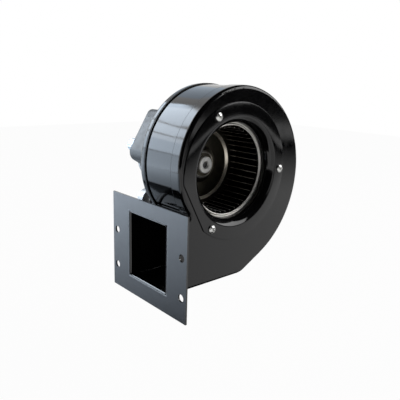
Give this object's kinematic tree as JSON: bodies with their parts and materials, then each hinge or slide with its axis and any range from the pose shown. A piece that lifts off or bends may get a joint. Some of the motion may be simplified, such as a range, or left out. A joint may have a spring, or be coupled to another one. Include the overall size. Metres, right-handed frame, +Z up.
{
  "type": "dc blower fan",
  "caption": "Centrifugal blower with a pressed scroll housing, bell-mouth inlet, forward-curved wheel, square outlet flange and a direct-current motor with terminal box.",
  "frame": {"origin": "middle of the outlet flange's four holes, on the flange's outer face", "axes": "+X into the housing from the flange, -X the way the air leaves; -Y towards the inlet, along the wheel's axis; +Z up"},
  "size_m": [0.21, 0.1894, 0.2434],
  "materials": {
    "cover_black": "gloss",
    "wrap_black": "gloss",
    "seal_rubber": "matte",
    "flange_grey": "satin",
    "zinc": "bright zinc",
    "blade_steel": "galvanised",
    "disc_steel": "galvanised",
    "dark_steel": "blackened",
    "bearing_steel": "ground",
    "copper": "satin",
    "brass": "satin",
    "cast_silver": "as cast",
    "motor_black": "satin",
    "magnet_grey": "sintered ferrite",
    "phenolic": "satin",
    "carbon": "matte",
    "mount_rubber": "matte",
    "box_grey": "satin",
    "cap_charcoal": "matte",
    "block_cream": "satin",
    "nickel": "nickel plated"
  },
  "bodies": {
    "housing": {"front_cover": "cover_black", "scroll_wrap": "wrap_black", "rear_cover": "cover_black", "seam_seal": "seal_rubber", "outlet_flange": "flange_grey", "inlet_plate": "cover_black", "inlet_screws": "zinc", "clinch_nuts": "zinc", "bearing_outer_rings": "bearing_steel", "wave_washer": "bearing_steel", "motor_front_shield": "cast_silver", "motor_can": "motor_black", "field_magnets": "magnet_grey", "motor_rear_shield": "cast_silver", "through_bolts": "zinc", "brush_plate": "phenolic", "brush_holders": "brass", "carbon_brushes": "carbon", "brush_springs": "bearing_steel", "mount_studs": "zinc", "rubber_mounts": "mount_rubber", "mount_washers": "zinc", "mount_nuts": "zinc", "terminal_box": "box_grey", "terminal_box_cap": "cap_charcoal", "cap_screws": "zinc", "box_screws": "zinc", "terminal_block": "block_cream", "cable_gland": "nickel", "gland_nut": "nickel", "gland_seal": "mount_rubber"},
    "wheel_and_armature": {"wheel_blades": "blade_steel", "wheel_front_ring": "zinc", "wheel_back_disc": "disc_steel", "wheel_hub": "zinc", "hub_set_screw": "dark_steel", "motor_shaft": "bearing_steel", "armature_core": "dark_steel", "armature_windings": "copper", "commutator": "copper", "bearing_inner_rings": "bearing_steel"},
    "ball_sets": {"bearing_balls": "bearing_steel", "bearing_cages": "brass"}
  },
  "joints": [
    {"name": "wheel_spin", "type": "hinge", "parent": "housing", "child": "wheel_and_armature", "pos_m": [0.0997, 0, 0.0966], "axis": [0, 1, 0], "continuous": true},
    {"name": "ball_orbit", "type": "hinge", "parent": "housing", "child": "ball_sets", "pos_m": [0.0997, 0, 0.0966], "axis": [0, 1, 0], "continuous": true}
  ],
  "couplings": [
    {"joint": "ball_orbit", "follows": "wheel_spin", "ratio": 0.368}
  ]
}
